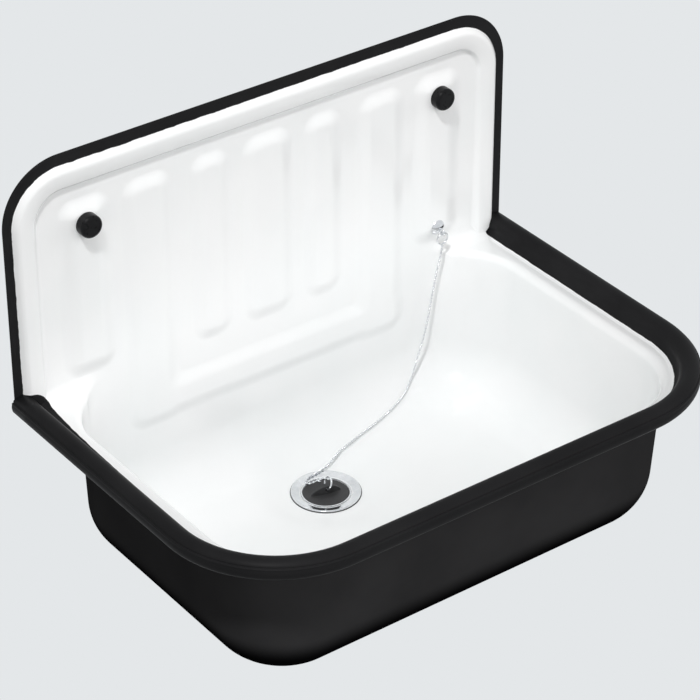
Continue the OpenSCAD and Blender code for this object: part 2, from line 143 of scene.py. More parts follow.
# Section of the rim's bead, by angles in degrees from inwards over the top. The fillet at its foot ends in a
# round top. Then come the groove that the rolled edge leaves, the flatter outer side, the underside, and the
# curl back to the ledge. The groove and the curl have a radius at each angle.
RIM_FOOT_START = (0.5, -0.35)
RIM_FOOT_TURN = (264, 12)
RIM_TOP = (140, 26)
RIM_GROOVE = ((143, 9.35), (145, 8.95), (147, 8.75), (149, 8.9), (151, 9.3), (153, 9.72), (155.5, 9.86),
              (158, 9.7), (161, 9.45), (165, 9.3))
RIM_SIDE = (172, 180, 188, 196)
RIM_SIDE_R = 9.3
RIM_UNDER = (205, 282, 14)
RIM_CURL = ((284, 8.9), (287, 8.0))
RIM_CURL_END = (3.4, -7.6)
RIM_SOLE = (4.6, 8.0, RIM_FOOT + 0.6)
RIM_WHITE_FROM = 8

# Where the white begins inside the rim's middle. The black is wider on the left, most of all near the wall.
PAINT_AT = 13.3
PAINT_WIDER = 2.9
PAINT_FLARE = 8.0
PAINT_FLARE_LENGTH = 60.0
PAINT_LEFT_FROM = 60
PAINT_LEFT_OVER = 120

# Black at the two feet of the backsplash, which the rim brings up with it. FOOT_BLACK_LEDGE is the Y from
# which the ledge follows it.
FOOT_BLACK_X = 200
FOOT_BLACK_WIDTH = 40
FOOT_BLACK_LEFT = -142.8
FOOT_BLACK_RISE = 15.0
FOOT_BLACK_REACH = 22.2
FOOT_BLACK_RIGHT = -144.2
FOOT_BLACK_SLOPE = 1.06
FOOT_BLACK_LEDGE = -16

# How far inside the white a point is said to lie where all is white or black
ALL_WHITE = 9.0
ALL_BLACK = -9.0
EDGE_BLACK = -5.0

# Bowl. Its wall leans outwards by DRAFT_TOP at the ledge, and by DRAFT less at the floor. LIP_R rounds its
# lip and FILLET_R its foot, which is made of rings down to STEEP degrees. BEHIND is how far its back reaches
# into the backsplash, and LEDGE_FILLET is the fillet there, which fades out down the wall.
LEDGE_Z = -159.0
BOWL_X = 221.0
BOWL_Y = -302.5
BOWL_R = 66.0
DRAFT_TOP = 2.6
DRAFT = 7.0
LIP_R = 6.5
FLOOR_Z = -295.0
FILLET_R = 46.0
STEEP = 56
WALL_Z = (-172, -179, -187, -196, -206, -217, -227, -238)
LEDGE_FILLET = 13.0
LEDGE_BEND_LOW = 34
LEDGE_BEND_FADE = 26
LEDGE_OVERLAP = 1.0
BEHIND = 0.02

# Waste hole and the soft dish round it, and the drain well, where the bowl is thicker
WASTE_Y = -84.0
WASTE_HOLE = 22.5
HOLE_SIDES = 96
DISH_DEPTH = 5.6
DISH_FROM = 31.0
DISH_WIDTH = 42.0
DISH_POWER = 1.3
DISH_FADE = 30
WELL_T = 3.2
WELL_FROM = 33.0
WELL_WIDTH = 12.0
HOLE_EDGE_H = 4

# Mesh of the bowl. A gap is left between the grids of points and their edges.
LIP_STEPS = 10
STEEP_STEPS = 13
RING_ARC = 60
RING_SIDE = 40
FLOOR_STEP = 3.0
FLOOR_GRID = (216, -300)
FLOOR_GAP = 2.0
HOLE_GAP = 1.5
LEDGE_STEP = 1.5
LEDGE_GRID = (237, -313.5)
LEDGE_GAP = 1.0
LEDGE_BACK = 8.0
JOIN = 0.02

# Seal under the waste's flange, squeezed out a little past its edge: radius and height
SEAL_SIDES = 96
SEAL_PROFILE = ((22.6, -304.0), (30.0, -304.0), (30.8, -301.6), (31.5, -301.0), (31.65, -300.5),
                (31.5, -300.1), (31.05, -299.9), (30.5, -302.5), (22.6, -302.5))

# Ball chain. Its route is the one in the part's source.
CHAIN_ROUTE = (
    (181, -13.7, -148), (180, -13.6, -156), (176, -13.2, -172), (172, -13, -192), (164, -13, -231),
    (156, -13, -255), (149, -14, -273), (140, -18.5, -281), (133, -22, -284.5), (119, -27, -288),
    (106, -31, -289.9), (88, -36, -291.6), (71, -40, -292.6), (56, -44.5, -293.1), (42, -49, -292.9),
    (33, -53, -293.8), (25, -56, -295.7), (17, -57.8, -297.1), (9, -58.4, -297.9), (1, -58.8, -298.3),
    (-3.5, -60.4, -298.4), (-6.1, -62.7, -298.4), (-7.8, -65, -298.4), (-7.4, -67.4, -298.2),
    (-5.2, -69.4, -297.4), (-2.8, -70.9, -296.1), (-0.8, -72.5, -294.5),
)
ROUTE_STEP = 0.25
BALL_D = 2.6
BALL_PITCH = 3.75
BALL_ROWS = 9
BALL_SIDES = 14
BALL_POLE = 0.16
LINK_D = 1.0
LINK_FROM = 0.42
LINK_SIDES = 8


def srgb(r, g, b):
    """A colour given as it shows on screen, from 0 to 255, as Blender's linear numbers."""
    linear = [((c / 255 + 0.055) / 1.055) ** 2.4 if c > 10 else c / 255 / 12.92 for c in (r, g, b)]
    return (*linear, 1.0)


# Enamel. A blend is where one shade ends and the next begins, by the noise or the distance between them.
# The turn towards the painted shade under the bowl is the same, by the upward part of the normal.
WHITE = srgb(246, 247, 247)
WHITE_SHADE = srgb(243, 245, 245)
BLACK = srgb(36, 36, 37)
BLACK_SHADE = srgb(31, 31, 32)
# The bowl's outside is the same black enamel as the rim, painted lighter in both its tones to stand in for
# light it gets less of.
OUTSIDE_PAINTED_LIGHTER = srgb(60, 60, 61)
OUTSIDE_BLOTCH_PAINTED_LIGHTER = srgb(54, 54, 55)
# Painted shade: the outside of the bowl darkens to this colour where it faces down.
PAINTED_UNDERSIDE_SHADE = srgb(14, 14, 15)
UNDERSIDE_SHADE_TURN = (-0.55, 0.02)
ENAMEL_IOR = 1.5
WHITE_BLOTCHES = 9.0
WHITE_BLEND = (0.35, 0.6)
BLACK_BLOTCHES = 14.0
BLACK_BLEND = (0.35, 0.65)
WIDE_BLEND = (0.3, 0.7)
WHITE_ROUGH = 0.13
BLACK_ROUGH = 0.42
OUTSIDE_ROUGH = (0.3, 0.4)
OUTSIDE_BLOTCHES = 90.0
WHITE_SHINE = 0.5
BLACK_SHINE = 0.03
EDGE_WOBBLES = 95.0
EDGE_WOBBLE = 1.3
EDGE_BLEND = (0.55, 0.75)
WAVES = 28.0
WAVE_HEIGHT = 0.00035
WAVE_STRENGTH = 0.35
PEEL = 420.0
PEEL_HEIGHT = 0.00004
PEEL_STRENGTH = 0.5

# Other materials. The grain of moulded pieces is finer than their blotches by GRAIN.
METAL_STRENGTH = 0.6
GRAIN = 6
GRAIN_STRENGTH = 0.5

# World: how strongly it shines by direction. A range is where a change begins and ends on one axis.
SKY_RISE = (-0.14, 0.12)
SKY_FACE = (0.3, -0.5)
SKY_BACK = 0.3
SKY_FRONT = 1.68
SKY_TOP = (0.25, 0.75)
SKY_HIGH = 0.22
LOW_RISE = (0.1, -0.2)
LOW_FADE = (-0.5, -0.15)
LOW_FACE = (-0.34, -0.48)
LOW_BACK = 0.1
LOW_FRONT = 0.12
SIDE_RANGE = (-0.6, 0.8)
SIDE_LEFT = 0.78
SIDE_RIGHT = 1.3
LIGHT_COLOUR = (1.0, 0.99, 0.99, 1)
BACKGROUND = srgb(228, 231, 233)

# Key light, a small square lamp, in metres and watts
KEY_AT = (-1.45, -1.32, 3.2)
KEY_TARGET = (0, -0.1, -0.1)
KEY_SIZE = 0.3
KEY_POWER = 80


def link(obj):
    bpy.context.scene.collection.objects.link(obj)
    return obj


def mesh_object(name, points, faces):
    """A smooth mesh object from points in millimetres."""
    mesh = bpy.data.meshes.new(name)
    mesh.from_pydata((np.asarray(points, float) * MM).tolist(), [], [list(map(int, f)) for f in faces])
    mesh.validate()
    mesh.polygons.foreach_set("use_smooth", [True] * len(mesh.polygons))
    return link(bpy.data.objects.new(name, mesh))


def mend_normals(obj):
    """Turns all faces outwards."""
    bm = bmesh.new()
    bm.from_mesh(obj.data)
    bmesh.ops.recalc_face_normals(bm, faces=bm.faces)
    bm.to_mesh(obj.data)
    bm.free()


def mark_white(obj, values):
    """Keeps with a mesh how far each of its points lies inside the white."""
    attribute = obj.data.attributes.new("white_inside", "FLOAT", "POINT")
    attribute.data.foreach_set("value", np.asarray(values, np.float32))


def quads(first, second, n, flip=False):
    """Faces between two rings of n points, which start at the points first and second."""
    faces = [(first + i, first + (i + 1) % n, second + (i + 1) % n, second + i) for i in range(n)]
    return [(a, d, c, b) for a, b, c, d in faces] if flip else faces


def tube_faces(rings, n):
    """Faces of a tube of rings of n points each, closed at both ends."""
    faces = [face for k in range(rings - 1) for face in quads(k * n, (k + 1) * n, n)]
    faces.append(tuple(range(n - 1, -1, -1)))
    faces.append(tuple((rings - 1) * n + i for i in range(n)))
    return faces


def anticlockwise(flat, tris):
    """Triangles over flat points, all turned the same way."""
    a, b, c = flat[tris[:, 0]], flat[tris[:, 1]], flat[tris[:, 2]]
    turn = (b[:, 0] - a[:, 0]) * (c[:, 1] - a[:, 1]) - (b[:, 1] - a[:, 1]) * (c[:, 0] - a[:, 0])
    return np.where(turn[:, None] > 0, tris, tris[:, ::-1])


def smoothstep(t):
    t = np.clip(t, 0, 1)
    return t * t * (3 - 2 * t)


def smooth_min(a, b, k):
    """The smaller of two values, rounded where they meet."""
    h = np.clip(0.5 + 0.5 * (b - a) / k, 0, 1)
    return b * (1 - h) + a * h - k * h * (1 - h)


def box_distance(x, y, x0, x1, y0, y1, r):
    """Distance to a rectangle with round corners, below zero inside it."""
    qx = np.abs(x - (x0 + x1) / 2) - (x1 - x0) / 2 + r
    qy = np.abs(y - (y0 + y1) / 2) - (y1 - y0) / 2 + r
    return np.hypot(np.maximum(qx, 0), np.maximum(qy, 0)) + np.minimum(np.maximum(qx, qy), 0) - r


def make_camera():
    yaw, pitch, roll = CAMERA_YAW, CAMERA_PITCH, CAMERA_ROLL
    ahead = Vector((math.sin(yaw) * math.cos(pitch), math.cos(yaw) * math.cos(pitch), -math.sin(pitch)))
    level = Vector((math.cos(yaw), -math.sin(yaw), 0))
    upright = level.cross(ahead)
    right = math.cos(roll) * level + math.sin(roll) * upright
    up = -math.sin(roll) * level + math.cos(roll) * upright
    data = bpy.data.cameras.new("camera")
    data.lens = CAMERA_LENS
    data.sensor_width = CAMERA_SENSOR
    data.clip_start, data.clip_end = CAMERA_CLIP
    camera = link(bpy.data.objects.new("camera", data))
    turn = Matrix((right, up, -ahead)).transposed().to_4x4()
    camera.matrix_world = Matrix.Translation(CAMERA_AT) @ turn
    bpy.context.scene.camera = camera


# Shader nodes


def new_material(name):
    material = bpy.data.materials.new(name)
    material.use_nodes = True
    tree = material.node_tree
    return material, tree, tree.nodes["Principled BSDF"]


def noise(tree, scale, detail):
    """A noise pattern in object space."""
    place = tree.nodes.new("ShaderNodeTexCoord")
    made = tree.nodes.new("ShaderNodeTexNoise")
    made.inputs["Scale"].default_value = scale
    made.inputs["Detail"].default_value = detail
    tree.links.new(place.outputs["Object"], made.inputs["Vector"])
    return made.outputs["Fac"]


def ramp(tree, factor, low, high, start, end):
    """Two values or colours blended by a factor between start and end."""
    made = tree.nodes.new("ShaderNodeValToRGB")
    made.color_ramp.elements[0].position = start
    made.color_ramp.elements[1].position = end
    for element, value in zip(made.color_ramp.elements, (low, high)):
        element.color = value if isinstance(value, tuple) else (value, value, value, 1)
    tree.links.new(factor, made.inputs["Fac"])
    return made.outputs["Color"]


def map_range(tree, value, from_min, from_max, to_min, to_max, kind="SMOOTHSTEP"):
    made = tree.nodes.new("ShaderNodeMapRange")
    made.interpolation_type = kind
    made.inputs["From Min"].default_value = from_min
    made.inputs["From Max"].default_value = from_max
    made.inputs["To Min"].default_value = to_min
    made.inputs["To Max"].default_value = to_max
    tree.links.new(value, made.inputs["Value"])
    return made.outputs["Result"]


def mix_colours(tree, factor, low, high):
    """A blend of two colours, each of which is a value or the output of a node."""
    made = tree.nodes.new("ShaderNodeMix")
    made.data_type = "RGBA"
    tree.links.new(factor, made.inputs["Factor"])
    ends = [s for s in made.inputs if s.type == "RGBA"]
    for end, colour in zip(ends, (low, high)):
        if isinstance(colour, tuple):
            end.default_value = colour
        else:
            tree.links.new(colour, end)
    return next(s for s in made.outputs if s.type == "RGBA")


def bump(tree, height, distance, strength, normal=None):
    made = tree.nodes.new("ShaderNodeBump")
    made.inputs["Distance"].default_value = distance
    made.inputs["Strength"].default_value = strength
    tree.links.new(height, made.inputs["Height"])
    if normal:
        tree.links.new(normal, made.inputs["Normal"])
    return made.outputs["Normal"]


def maths(tree, operation, a, b):
    made = tree.nodes.new("ShaderNodeMath")
    made.operation = operation
    tree.links.new(a, made.inputs[0])
    tree.links.new(b, made.inputs[1])
    return made.outputs["Value"]


def axes(tree, vector):
    """The three parts of a vector, by the names of their axes."""
    made = tree.nodes.new("ShaderNodeSeparateXYZ")
    tree.links.new(vector, made.inputs["Vector"])
    return made.outputs


# Materials


def enamel_surface(tree, shader, colour):
    """The slow waves and fine orange peel of fired enamel."""
    shader.inputs["IOR"].default_value = ENAMEL_IOR
    waves = bump(tree, noise(tree, WAVES, 1.0), WAVE_HEIGHT, WAVE_STRENGTH)
    peel = bump(tree, noise(tree, PEEL, 2.0), PEEL_HEIGHT, PEEL_STRENGTH, waves)
    tree.links.new(peel, shader.inputs["Normal"])
    tree.links.new(colour, shader.inputs["Base Color"])


def black_enamel():
    """The outside of the bowl, painted lighter than the rim's black to stand in for light, and darkened to
    painted shade where it faces down.
    """
    material, tree, shader = new_material("black_enamel")
    plain = ramp(tree, noise(tree, BLACK_BLOTCHES, 3.0), OUTSIDE_BLOTCH_PAINTED_LIGHTER, OUTSIDE_PAINTED_LIGHTER, *BLACK_BLEND)
    facing = axes(tree, tree.nodes.new("ShaderNodeNewGeometry").outputs["Normal"])["Z"]
    underside_shade_share = map_range(tree, facing, *UNDERSIDE_SHADE_TURN, 0.0, 1.0)
    enamel_surface(tree, shader, mix_colours(tree, underside_shade_share, PAINTED_UNDERSIDE_SHADE, plain))
    rough = ramp(tree, noise(tree, OUTSIDE_BLOTCHES, 3.0), *OUTSIDE_ROUGH, *WIDE_BLEND)
    tree.links.new(rough, shader.inputs["Roughness"])
    shader.inputs["Specular IOR Level"].default_value = 0.0
    return material


def edged_enamel():
    """White enamel with a black edge. The mesh says how far each point lies inside the white."""
    material, tree, shader = new_material("edged_enamel")
    inside = tree.nodes.new("ShaderNodeAttribute")
    inside.attribute_name = "white_inside"
    shifted = tree.nodes.new("ShaderNodeMath")
    shifted.operation = "MULTIPLY_ADD"
    shifted.inputs[1].default_value = EDGE_WOBBLE
    tree.links.new(noise(tree, EDGE_WOBBLES, 3.0), shifted.inputs[0])
    tree.links.new(inside.outputs["Fac"], shifted.inputs[2])
    is_white = map_range(tree, shifted.outputs["Value"], *EDGE_BLEND, 0.0, 1.0, "LINEAR")
    white = ramp(tree, noise(tree, WHITE_BLOTCHES, 2.0), WHITE_SHADE, WHITE, *WHITE_BLEND)
    black = ramp(tree, noise(tree, BLACK_BLOTCHES, 3.0), BLACK_SHADE, BLACK, *BLACK_BLEND)
    enamel_surface(tree, shader, mix_colours(tree, is_white, black, white))
    rough = map_range(tree, is_white, 0.0, 1.0, BLACK_ROUGH, WHITE_ROUGH, "LINEAR")
    tree.links.new(rough, shader.inputs["Roughness"])
    shine = map_range(tree, is_white, 0.0, 1.0, BLACK_SHINE, WHITE_SHINE, "LINEAR")
    tree.links.new(shine, shader.inputs["Specular IOR Level"])
    return material


def metal(name, colour, shade, rough_low, rough_high, scale=300.0, height=0.00002):
    material, tree, shader = new_material(name)
    shader.inputs["Metallic"].default_value = 1.0
    pattern = noise(tree, scale, 4.0)
    tree.links.new(ramp(tree, pattern, shade, colour, *WIDE_BLEND), shader.inputs["Base Color"])
    tree.links.new(ramp(tree, pattern, rough_high, rough_low, *WIDE_BLEND), shader.inputs["Roughness"])
    tree.links.new(bump(tree, pattern, height, METAL_STRENGTH), shader.inputs["Normal"])
    return material


def moulded(name, colour, shade, rough_low, rough_high, shine=0.5, scale=260.0, height=0.00005):
    """Moulded plastic or rubber with a fine grain and slight blotches."""
    material, tree, shader = new_material(name)
    grain = noise(tree, scale * GRAIN, 3.0)
    blotch = noise(tree, scale, 3.0)
    tree.links.new(ramp(tree, blotch, shade, colour, *WIDE_BLEND), shader.inputs["Base Color"])
    tree.links.new(ramp(tree, blotch, rough_low, rough_high, *WIDE_BLEND), shader.inputs["Roughness"])
    tree.links.new(bump(tree, grain, height, GRAIN_STRENGTH), shader.inputs["Normal"])
    shader.inputs["Specular IOR Level"].default_value = shine
    return material


# Ball chain


def smooth_route(route, step):
    """Points about step apart on a smooth curve through the route's points, and the curve's length."""
    p = [np.array(q, float) for q in route]
    p = [2 * p[0] - p[1]] + p + [2 * p[-1] - p[-2]]
    line = []
    for a, b, c, d in zip(p, p[1:], p[2:], p[3:]):
        count = max(2, int(np.linalg.norm(c - b) / ROUTE_STEP))
        for t in np.arange(count) / count:
            line.append(0.5 * (2 * b + (c - a) * t + (2 * a - 5 * b + 4 * c - d) * t**2
                               + (3 * b - a - 3 * c + d) * t**3))
    line.append(p[-2])
    line = np.array(line)
    along = np.concatenate([[0], np.cumsum(np.linalg.norm(np.diff(line, axis=0), axis=1))])
    at = np.linspace(0, along[-1], int(round(along[-1] / step)) + 1)
    return np.stack([np.interp(at, along, line[:, k]) for k in range(3)], axis=1), along[-1]


def lathe(profile, sides):
    """Points and faces of a profile of (radius, height) pairs turned round Z, closed at both ends."""
    turns = [2 * math.pi * i / sides for i in range(sides)]
    points = [(r * math.cos(a), r * math.sin(a), z) for r, z in profile for a in turns]
    return np.array(points, float), tube_faces(len(profile), sides)


def ball_profile(d):
    """Half circle from pole to pole, with a tiny flat at each pole."""
    angles = np.linspace(-math.pi / 2 + BALL_POLE, math.pi / 2 - BALL_POLE, BALL_ROWS)
    return [(d / 2 * math.cos(a), d / 2 * math.sin(a)) for a in angles]


def strung(name, centres, ball_d, link_d):
    """One mesh of balls at the centres with a short rod between each two."""
    ball, ball_faces = lathe(ball_profile(ball_d), BALL_SIDES)
    points, faces = [], []

    def place(shape, shape_faces, along, at):
        turn = Vector(along).to_track_quat("Z", "Y").to_matrix()
        start = sum(len(q) for q in points)
        points.append(shape @ np.array(turn.to_3x3()).T + at)
        faces.extend(tuple(i + start for i in f) for f in shape_faces)

    for i, c in enumerate(centres):
        before, after = centres[max(i - 1, 0)], centres[min(i + 1, len(centres) - 1)]
        place(ball, ball_faces, after - before, c)
        if i + 1 < len(centres):
            gap = centres[i + 1] - c
            ends = (ball_d * LINK_FROM, np.linalg.norm(gap) - ball_d * LINK_FROM)
            rod, rod_faces = lathe([(link_d / 2, z) for z in ends], LINK_SIDES)
            place(rod, rod_faces, gap, c)
    return mesh_object(name, np.concatenate(points), faces)


def make_chain():
    centres, length = smooth_route(CHAIN_ROUTE, BALL_PITCH)
    chain = strung("chain", centres, BALL_D, LINK_D)
    chain.data.materials.append(CHROME)
    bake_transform(chain, "root", "plug", start=(0.125, -0.025, -0.287), end=(0.018, -0.0575, -0.299))
    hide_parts("ball_chain", "chain_end")
    line, _ = smooth_route(CHAIN_ROUTE, BALL_PITCH / 2)


# Backsplash: a pressed sheet. Its height over the flat field is a function of X and Z.


def border_inset(x, z):
    """How far a point lies inside the line between the black edge and the raised border."""
    below_all = -900.0
    return -box_distance(x, z, -HALF_W + EDGE_LEFT, HALF_W - EDGE_RIGHT, below_all, TOP_Z - EDGE_TOP,
                         CORNER_R - EDGE_LEFT)


def foot_white(x, z):
    """How far a point at the foot of the backsplash lies above the black that the rim brings there."""
    across = np.clip(HALF_W - EDGE_LEFT - np.abs(x), 0, FOOT_BLACK_WIDTH)
    left = z - FOOT_BLACK_LEFT + FOOT_BLACK_RISE * (across / FOOT_BLACK_REACH) ** 3
    right = z - FOOT_BLACK_RIGHT + FOOT_BLACK_SLOPE * across
    return np.where(x < 0, left, right)


def splash_white(x, z):
    """How far a point of the backsplash lies inside the white."""
    return np.minimum(border_inset(x, z), np.where(np.abs(x) > FOOT_BLACK_X, foot_white(x, z), ALL_WHITE))


def border_height(x, z):
    """The raised border: a quick rise from the black edge, a slow fall and a soft inner flank."""
    inset = border_inset(x, z)
    softer = BORDER_SOFTER * smoothstep((BORDER_SOFT_Z - z) / BORDER_SOFT_OVER)
    start, end = BORDER_FLANK[0] - softer, BORDER_FLANK[1] + softer
    rise = BORDER_H * (1 - (1 - np.clip(inset / BORDER_RISE, 0, 1)) ** BORDER_POWER)
    crest = rise - BORDER_FALL * np.maximum(inset - BORDER_FALL_FROM, 0) ** 2
    foot = smoothstep((z - FOOT_Z - BORDER_FOOT) / BORDER_FOOT_FADE)
    return crest * (1 - smoothstep((inset - start) / (end - start))) * foot


def rib_distance(x, z, rib):
    """Distance to the nearer one of a pair of ribs, below zero on it."""
    at, width, low = rib
    left = box_distance(x, z, -at - width / 2, -at + width / 2, low, RIB_TOP, RIB_R)
    right = box_distance(x, z, at - width / 2, at + width / 2, low, RIB_TOP, RIB_R)
    return np.minimum(left, right)


def flank(distance, softer=0):
    """The share of a rib's height at a distance from its edge."""
    return smoothstep((RIB_FLANK_OUT - distance) / (RIB_FLANK_OUT + RIB_FLANK_IN + softer))


def splash_height(x, z):
    """How far the front stands out from the flat field."""
    middle, inner, joined, fixing = (rib_distance(x, z, rib) for rib in RIBS)
    apron = box_distance(x, z, -APRON_HALF, APRON_HALF, APRON_LOW, APRON_TOP, RIB_R)
    nearest = np.minimum.reduce([middle, inner, smooth_min(joined, apron, APRON_BLEND)])
    ribs = RIB_H * flank(nearest) + FIXING_RIB_H * flank(fixing, FIXING_RIB_SOFTER)
    return np.maximum(border_height(x, z), ribs)


def outline_loop(inset):
    """The backsplash's outline, inset by a distance, as points in order."""
    w, top, low, seam = HALF_W - inset, TOP_Z - inset, FOOT_Z + inset, SEAM_Z + inset
    tongue = TONGUE_HALF - inset
    r, f = CORNER_R - inset, FOOT_R - inset
    loop = []

    def steps(length):
        return int(length / SPLASH_STEP)

    def arc(cx, cz, radius, start, count):
        for i in range(count + 1):
            a = math.radians(start + 90 * i / count)
            loop.append((cx + radius * math.cos(a), cz + radius * math.sin(a)))

    def line_to(x, z, count):
        x0, z0 = loop[-1]
        for i in range(1, count):
            loop.append((x0 + (x - x0) * i / count, z0 + (z - z0) * i / count))

    top_steps = steps(2 * (HALF_W - CORNER_R))
    side_steps = steps(TOP_Z - CORNER_R - FOOT_Z - FOOT_R)
    low_steps = steps(HALF_W - FOOT_R - TONGUE_HALF)
    tongue_steps = steps(FOOT_Z - SEAM_Z)
    tongue_corners = ((-tongue, low, low_steps), (-tongue, seam, tongue_steps),
                      (tongue, seam, steps(2 * TONGUE_HALF)), (tongue, low, tongue_steps))
    arc(w - r, top - r, r, 0, CORNER_STEPS)
    line_to(-(w - r), top, top_steps)
    arc(-(w - r), top - r, r, 90, CORNER_STEPS)
    line_to(-w, low + f, side_steps)
    arc(-(w - f), low + f, f, 180, FOOT_STEPS)
    for x, z, count in tongue_corners:
        line_to(x, z, count)
        loop.append((x, z))
    line_to(w - f, low, low_steps)
    arc(w - f, low + f, f, 270, FOOT_STEPS)
    line_to(w, top - r, side_steps)
    return loop


def border_points():
    """Points on lines parallel to the border, so that it comes out clean."""
    made = []
    for s in BORDER_LINES:
        left, right = -HALF_W + EDGE_LEFT + s, HALF_W - EDGE_RIGHT - s
        top, r = TOP_Z - EDGE_TOP - s, CORNER_R - EDGE_LEFT - s
        up = np.arange(FOOT_Z + BORDER_LINES_FROM, top - r, SPLASH_STEP)
        over = np.linspace(left + r, right - r, int((right - left - 2 * r) / SPLASH_STEP))
        count = max(BORDER_TURN_LEAST, int(r * BORDER_TURN / SPLASH_STEP))
        turn = np.linspace(BORDER_TURN_GAP, math.pi / 2 - BORDER_TURN_GAP, count)
        made += [(side, z) for z in up for side in (left, right)]
        made += [(left + r - r * math.cos(a), top - r + r * math.sin(a)) for a in turn]
        made += [(right - r + r * math.cos(a), top - r + r * math.sin(a)) for a in turn]
        made += [(x, top) for x in over]
    return [(float(x), float(z)) for x, z in made]


def inside_outline(x, z, inset):
    upper = box_distance(x, z, -HALF_W, HALF_W, FOOT_Z, TOP_Z, CORNER_R)
    lower = box_distance(x, z, -HALF_W, HALF_W, FOOT_Z, 0.0, FOOT_R)
    tongue = box_distance(x, z, -TONGUE_HALF, TONGUE_HALF, SEAM_Z, FOOT_Z + TONGUE_OVERLAP, 0.1)
    return np.minimum(np.minimum(upper, lower), tongue) < -inset


def splash_field(loop):
    """Flat points and triangles inside the outline. The outline's own points come first."""
    step, n = SPLASH_STEP, len(loop)
    xs = np.arange(-HALF_W + step / 2, HALF_W, step)
    zs = np.arange(SEAM_Z + step / 2, TOP_Z, step)
    x, z = np.meshgrid(xs, zs)
    inset = border_inset(x, z)
    on_border = (inset > BORDER_LINES[0] - 1) & (inset < BORDER_LINES[-1] + 1)
    keep = inside_outline(x, z, SHEET_EDGE_R + step * SPLASH_GAP)
    keep &= ~(on_border & (z > FOOT_Z + FOOT_BAND))
    grid = list(zip(x[keep].tolist(), z[keep].tolist())) + border_points()
    edges = [(i, (i + 1) % n) for i in range(n)]
    flat, _, tris, _, _, _ = delaunay_2d_cdt([Vector(p) for p in loop + grid], edges, [], 1, 1e-5)
    flat = np.array([tuple(p) for p in flat])
    if np.abs(flat[:n] - np.array(loop)).max() > 1e-4:
        raise RuntimeError("the outline's points came back in another order")
    return flat, anticlockwise(flat, np.array(tris))


def splash_normals(x, z):
    """The front's normals, from the slope of its height."""
    e = SLOPE_STEP
    hx = (splash_height(x + e, z) - splash_height(x - e, z)) / (2 * e)
    hz = (splash_height(x, z + e) - splash_height(x, z - e)) / (2 * e)
    normal = np.stack([-hx, -np.ones_like(hx), -hz], axis=1)
    return normal / np.linalg.norm(normal, axis=1)[:, None]


def splash_edge(loop):
    """Rings round the sheet's rounded edge, from front to back: points, normals and how white they are."""
    line = np.array(loop)
    outward = line - np.array(outline_loop(SHEET_EDGE_R + 0.01))
    outward /= np.linalg.norm(outward, axis=1)[:, None]
    at_foot = (line[:, 1] < FOOT_Z + FOOT_BAND) & (np.abs(line[:, 0]) < WHITE_EDGE_X)
    white = np.where(at_foot, ALL_WHITE, EDGE_BLACK)
    points, normals = [], []
    for k in range(1, EDGE_STEPS):
        a = math.pi * k / EDGE_STEPS
        side = outward * SHEET_EDGE_R * math.sin(a)
        forward = np.full(len(line), -math.cos(a))
        x, z = line[:, 0] + side[:, 0], line[:, 1] + side[:, 1]
        points.append(np.stack([x, -SHEET_T / 2 + SHEET_EDGE_R * forward, z], axis=1))
        normals.append(np.stack([outward[:, 0] * math.sin(a), forward, outward[:, 1] * math.sin(a)], axis=1))
    return points, normals, [white] * len(points)


def make_backsplash():
    loop = outline_loop(SHEET_EDGE_R)
    n = len(loop)
    flat, tris = splash_field(loop)
    count = len(flat)
    x, z = flat[:, 0], flat[:, 1]
    height = splash_height(x, z)
    front = np.stack([x, -SHEET_T - height, z], axis=1)
    back = np.stack([x, -height, z], axis=1)
    normal = splash_normals(x, z)
    edge_points, edge_normals, edge_white = splash_edge(loop)
    faces = [tuple(t) for t in tris] + [tuple(t[::-1] + count) for t in tris]
    rings = [0] + [2 * count + k * n for k in range(len(edge_points))] + [count]
    for first, second in zip(rings, rings[1:]):
        faces += [(b, a, d, c) for a, b, c, d in quads(first, second, n)]
    splash = mesh_object("backsplash_shell", np.concatenate([front, back] + edge_points), faces)
    normals = np.concatenate([normal, -normal] + edge_normals)
    splash.data.normals_split_custom_set_from_vertices(normals.tolist())
    mark_white(splash, np.concatenate([splash_white(x, z), np.full(count, ALL_BLACK)] + edge_white))
    splash.data.materials.append(EDGED)
    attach(splash, "root")
    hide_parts("backsplash")


# Rim: a rolled bead swept round three sides


def three_sides():
    """The rim's line as (x, y, inward x, inward y), from the wall round the front and back to it."""
    r = RIM_CORNER
    line = []

    def corner(cx, start):
        for i in range(RIM_ARC_STEPS + 1):
            a = start + math.pi / 2 * i / RIM_ARC_STEPS
            line.append((cx + r * math.cos(a), RIM_Y + r + r * math.sin(a), -math.cos(a), -math.sin(a)))

    for i in range(RIM_SIDE_STEPS):
        line.append((-RIM_X, RIM_BACK + (RIM_Y + r - RIM_BACK) * i / RIM_SIDE_STEPS, 1.0, 0.0))
    corner(-RIM_X + r, math.pi)
    for i in range(1, RIM_SIDE_STEPS):
        line.append((-RIM_X + r + 2 * (RIM_X - r) * i / RIM_SIDE_STEPS, RIM_Y, 0.0, 1.0))
    corner(RIM_X - r, -math.pi / 2)
    for i in range(1, RIM_SIDE_STEPS + 1):
        line.append((RIM_X, RIM_Y + r + (RIM_BACK - RIM_Y - r) * i / RIM_SIDE_STEPS, -1.0, 0.0))
    return np.array(line)


def paint_line(x, y, u):
    """How far a point u inside the rim's middle lies in the white."""
    wider = PAINT_WIDER + PAINT_FLARE * np.exp(np.minimum(y, 0) / PAINT_FLARE_LENGTH)
    return u - PAINT_AT - wider * smoothstep((-x - PAINT_LEFT_FROM) / PAINT_LEFT_OVER)


